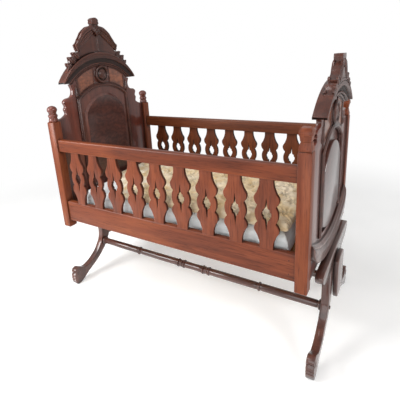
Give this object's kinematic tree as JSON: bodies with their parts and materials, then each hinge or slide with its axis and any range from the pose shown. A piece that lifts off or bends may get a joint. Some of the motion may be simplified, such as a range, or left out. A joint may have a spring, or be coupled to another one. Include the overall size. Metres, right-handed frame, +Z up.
{
  "type": "rocking cradle",
  "caption": "Slatted wooden cradle with carved arched end boards, on curved rockers that roll on a trestle stand with turned stretchers, with a mattress and a quilt inside.",
  "frame": {"origin": "on the floor under the middle of the cradle", "axes": "+X towards the foot end, -Y towards the front side, +Z up"},
  "size_m": [1.1246, 0.6068, 1.175],
  "materials": {
    "walnut": "waxed red-brown walnut, semi-gloss",
    "dark_walnut": "darker carved walnut, semi-gloss",
    "burl_walnut": "figured burl walnut, polished",
    "softwood": "plain softwood, unfinished",
    "mattress_cotton": "pale plain cotton",
    "quilt_cotton": "puckered beige cotton"
  },
  "bodies": {
    "stand": {"head_track_bar": "walnut", "foot_track_bar": "walnut", "head_leg_front": "walnut", "head_leg_rear": "walnut", "foot_leg_front": "walnut", "foot_leg_rear": "walnut", "head_joint_plate": "walnut", "foot_joint_plate": "walnut", "stretcher_front": "walnut", "stretcher_rear": "walnut"},
    "cradle": {"post_head_front": "walnut", "post_head_rear": "walnut", "post_foot_front": "walnut", "post_foot_rear": "walnut", "finial_head_front": "walnut", "finial_head_rear": "walnut", "finial_foot_front": "walnut", "finial_foot_rear": "walnut", "rail_top_front": "walnut", "rail_top_rear": "walnut", "rail_bottom_front": "walnut", "rail_bottom_rear": "walnut", "splat_front_1": "walnut", "splat_front_2": "walnut", "splat_front_3": "walnut", "splat_front_4": "walnut", "splat_front_5": "walnut", "splat_front_6": "walnut", "splat_front_7": "walnut", "splat_front_8": "walnut", "splat_front_9": "walnut", "splat_rear_1": "walnut", "splat_rear_2": "walnut", "splat_rear_3": "walnut", "splat_rear_4": "walnut", "splat_rear_5": "walnut", "splat_rear_6": "walnut", "splat_rear_7": "walnut", "splat_rear_8": "walnut", "splat_rear_9": "walnut", "head_board": "walnut", "foot_board": "walnut", "head_panel": "burl_walnut", "foot_panel": "burl_walnut", "head_moulding_inner": "dark_walnut", "head_moulding_outer": "dark_walnut", "foot_moulding_inner": "dark_walnut", "foot_moulding_outer": "dark_walnut", "head_cornice": "dark_walnut", "foot_cornice": "dark_walnut", "head_crest": "dark_walnut", "foot_crest": "dark_walnut", "head_cabochon": "dark_walnut", "foot_cabochon": "dark_walnut", "head_rocker": "walnut", "foot_rocker": "walnut", "bed_base": "softwood", "mattress": "mattress_cotton", "quilt": "quilt_cotton"}
  },
  "joints": [
    {"name": "rock", "type": "hinge", "parent": "stand", "child": "cradle", "pos_m": [0, 0, 0.8923], "axis": [1, 0, 0], "range_deg": [-12, 12]}
  ]
}
